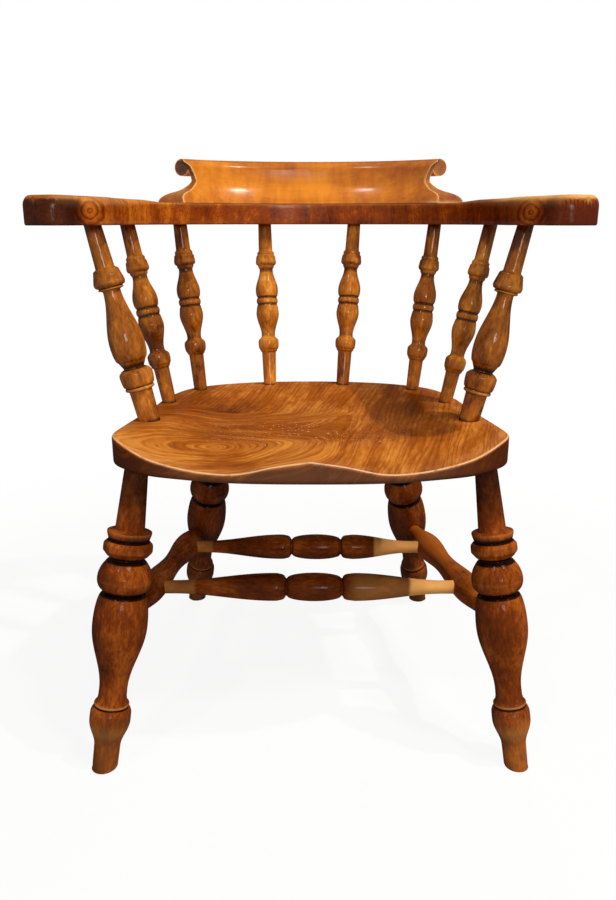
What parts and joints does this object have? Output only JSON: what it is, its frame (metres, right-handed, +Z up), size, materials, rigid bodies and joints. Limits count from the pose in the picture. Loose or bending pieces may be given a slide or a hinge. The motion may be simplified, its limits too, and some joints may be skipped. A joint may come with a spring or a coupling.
{
  "type": "captain's chair",
  "caption": "Low-backed wooden armchair with a saddled plank seat, turned legs, posts and spindles, a sawn arm bow and a rolled crest rail.",
  "frame": {"origin": "middle of the footprint of the whole chair, on the floor", "axes": "+Z up, the chair's front faces -Y, +X is on the right of someone looking at its front"},
  "size_m": [0.6634, 0.5158, 0.7818],
  "materials": {
    "seat_wood": "varnished, worn pale at the front",
    "leg_wood": "dark varnish",
    "spindle_wood": "varnished",
    "bow_wood": "varnished",
    "crest_wood": "glossy varnish",
    "dowel_wood": "bare",
    "steel": "plain"
  },
  "bodies": {
    "root": {"seat": "seat_wood", "leg_front_left": "leg_wood", "leg_front_right": "leg_wood", "leg_rear_left": "leg_wood", "leg_rear_right": "leg_wood", "side_stretcher_left": "leg_wood", "side_stretcher_right": "leg_wood", "cross_stretcher_front": "leg_wood", "cross_stretcher_rear": "leg_wood", "arm_post_left": "spindle_wood", "arm_post_right": "spindle_wood", "back_spindle_1": "spindle_wood", "back_spindle_2": "spindle_wood", "back_spindle_3": "spindle_wood", "back_spindle_4": "spindle_wood", "back_spindle_5": "spindle_wood", "back_spindle_6": "spindle_wood", "arm_bow_left": "bow_wood", "arm_bow_right": "bow_wood", "crest_rail": "crest_wood", "bow_dowel_front": "dowel_wood", "bow_dowel_rear": "dowel_wood", "crest_screw_1": "steel", "crest_screw_2": "steel", "crest_screw_3": "steel", "crest_screw_4": "steel"}
  },
  "joints": []
}
